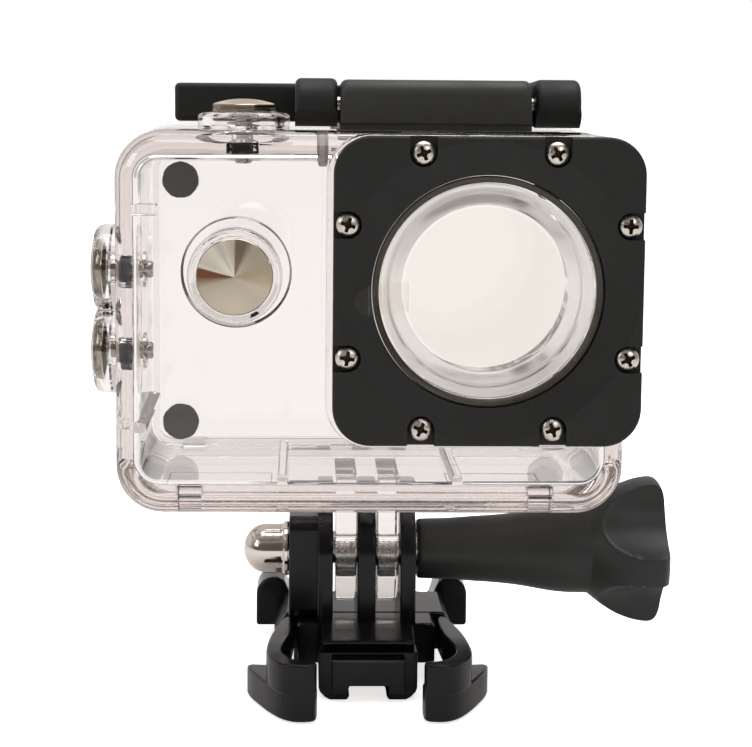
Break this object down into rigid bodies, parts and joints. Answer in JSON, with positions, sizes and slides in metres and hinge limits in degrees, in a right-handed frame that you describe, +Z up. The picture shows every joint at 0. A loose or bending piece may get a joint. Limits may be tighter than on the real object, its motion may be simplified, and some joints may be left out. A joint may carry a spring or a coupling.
{
  "type": "action camera waterproof housing",
  "caption": "Clear waterproof housing for an action camera, with push buttons, a latched back door and a quick-release buckle clamped by a thumb screw.",
  "frame": {"origin": "centre of the buckle's sole, directly under the tilt bolt's axis", "axes": "+X to the viewer's right when facing the lens side, along the bolt; +Y from the lens side to the back door; +Z up"},
  "size_m": [0.0823, 0.0481, 0.0856],
  "materials": {
    "clear_shell": "clear moulded polycarbonate, polished",
    "window_glass": "flat clear glass",
    "clear_film": "thin protective film",
    "matte_black": "fine spark-eroded matte black",
    "gloss_black": "glossy moulded black",
    "satin_black": "satin black",
    "polished_nut": "polished nickel",
    "nickel_screws": "nickel plated",
    "steel_fittings": "bright stainless steel",
    "brushed_caps": "spun metal with radial sheen",
    "black_rubber": "soft black",
    "white_silicone": "translucent white silicone",
    "dark_foam": "closed-cell foam"
  },
  "bodies": {
    "buckle": {"buckle_base": "gloss_black", "cap_nut": "polished_nut"},
    "clip_left": {"clip_left": "gloss_black"},
    "clip_right": {"clip_right": "gloss_black"},
    "thumb_screw": {"thumb_knob": "satin_black", "clamp_bolt": "steel_fittings"},
    "housing": {"front_shell": "clear_shell", "lens_frame": "matte_black", "lens_glass": "window_glass", "lens_film": "clear_film", "lens_ring": "clear_shell", "lens_gasket": "black_rubber", "lens_screw_1": "nickel_screws", "lens_screw_2": "nickel_screws", "lens_screw_3": "nickel_screws", "lens_screw_4": "nickel_screws", "lens_screw_5": "nickel_screws", "lens_screw_6": "nickel_screws", "lens_screw_7": "nickel_screws", "lens_screw_8": "nickel_screws", "latch_base": "matte_black", "latch_pin": "steel_fittings", "door_hinge_pin": "steel_fittings", "front_button_seal": "black_rubber", "shutter_button_seal": "black_rubber", "side_button_upper_seal": "black_rubber", "side_button_lower_seal": "black_rubber", "front_button_spring": "steel_fittings", "shutter_button_spring": "steel_fittings", "side_button_upper_spring": "steel_fittings", "side_button_lower_spring": "steel_fittings"},
    "door": {"back_door": "clear_shell", "door_seal": "white_silicone", "foam_dot_1": "dark_foam", "foam_dot_2": "dark_foam", "foam_dot_3": "dark_foam", "foam_dot_4": "dark_foam"},
    "latch_lever": {"latch_lever": "matte_black", "hook_pin": "steel_fittings"},
    "latch_hook": {"latch_hook": "matte_black"},
    "front_button": {"front_button": "brushed_caps", "front_button_clip": "steel_fittings"},
    "shutter_button": {"shutter_button": "brushed_caps", "shutter_button_clip": "steel_fittings"},
    "side_button_upper": {"side_button_upper": "brushed_caps", "side_button_upper_clip": "steel_fittings"},
    "side_button_lower": {"side_button_lower": "brushed_caps", "side_button_lower_clip": "steel_fittings"}
  },
  "joints": [
    {"name": "housing_tilt", "type": "hinge", "parent": "buckle", "child": "housing", "pos_m": [0, 0, 0.0176], "axis": [1, 0, 0], "range_deg": [-40, 40]},
    {"name": "thumb_screw_turn", "type": "hinge", "parent": "buckle", "child": "thumb_screw", "pos_m": [0, 0, 0.0176], "axis": [1, 0, 0], "continuous": true},
    {"name": "clip_left_flex", "type": "hinge", "parent": "buckle", "child": "clip_left", "pos_m": [-0.011, -0.0028, 0.005], "axis": [0, 0, 1], "range_deg": [0, 4], "stiffness_Nm_per_rad": 1.5},
    {"name": "clip_right_flex", "type": "hinge", "parent": "buckle", "child": "clip_right", "pos_m": [0.011, -0.0028, 0.005], "axis": [0, 0, -1], "range_deg": [0, 4], "stiffness_Nm_per_rad": 1.5},
    {"name": "latch_lift", "type": "hinge", "parent": "housing", "child": "latch_lever", "pos_m": [0, -0.008, 0.08225], "axis": [1, 0, 0], "range_deg": [0, 105]},
    {"name": "latch_hook_swing", "type": "hinge", "parent": "latch_lever", "child": "latch_hook", "pos_m": [0, 0.01, 0.08225], "axis": [1, 0, 0], "range_deg": [0, 52.5]},
    {"name": "door_open", "type": "hinge", "parent": "housing", "child": "door", "pos_m": [0, 0.0162, 0.02855], "axis": [-1, 0, 0], "range_deg": [0, 84]},
    {"name": "front_button_press", "type": "slide", "parent": "housing", "child": "front_button", "axis": [0, 1, 0], "range_m": [0, 0.001], "stiffness_N_per_m": 900, "springref_m": -0.001, "deforming": ["front_button_spring"]},
    {"name": "shutter_button_press", "type": "slide", "parent": "housing", "child": "shutter_button", "axis": [0, 0, -1], "range_m": [0, 0.001], "stiffness_N_per_m": 900, "springref_m": -0.001, "deforming": ["shutter_button_spring"]},
    {"name": "side_button_upper_press", "type": "slide", "parent": "housing", "child": "side_button_upper", "axis": [1, 0, 0], "range_m": [0, 0.001], "stiffness_N_per_m": 900, "springref_m": -0.001, "deforming": ["side_button_upper_spring"]},
    {"name": "side_button_lower_press", "type": "slide", "parent": "housing", "child": "side_button_lower", "axis": [1, 0, 0], "range_m": [0, 0.001], "stiffness_N_per_m": 900, "springref_m": -0.001, "deforming": ["side_button_lower_spring"]}
  ],
  "couplings": [
    {"joint": "door_open", "follows": "latch_lift", "ratio": 0.8},
    {"joint": "latch_hook_swing", "follows": "latch_lift", "ratio": 0.5}
  ]
}
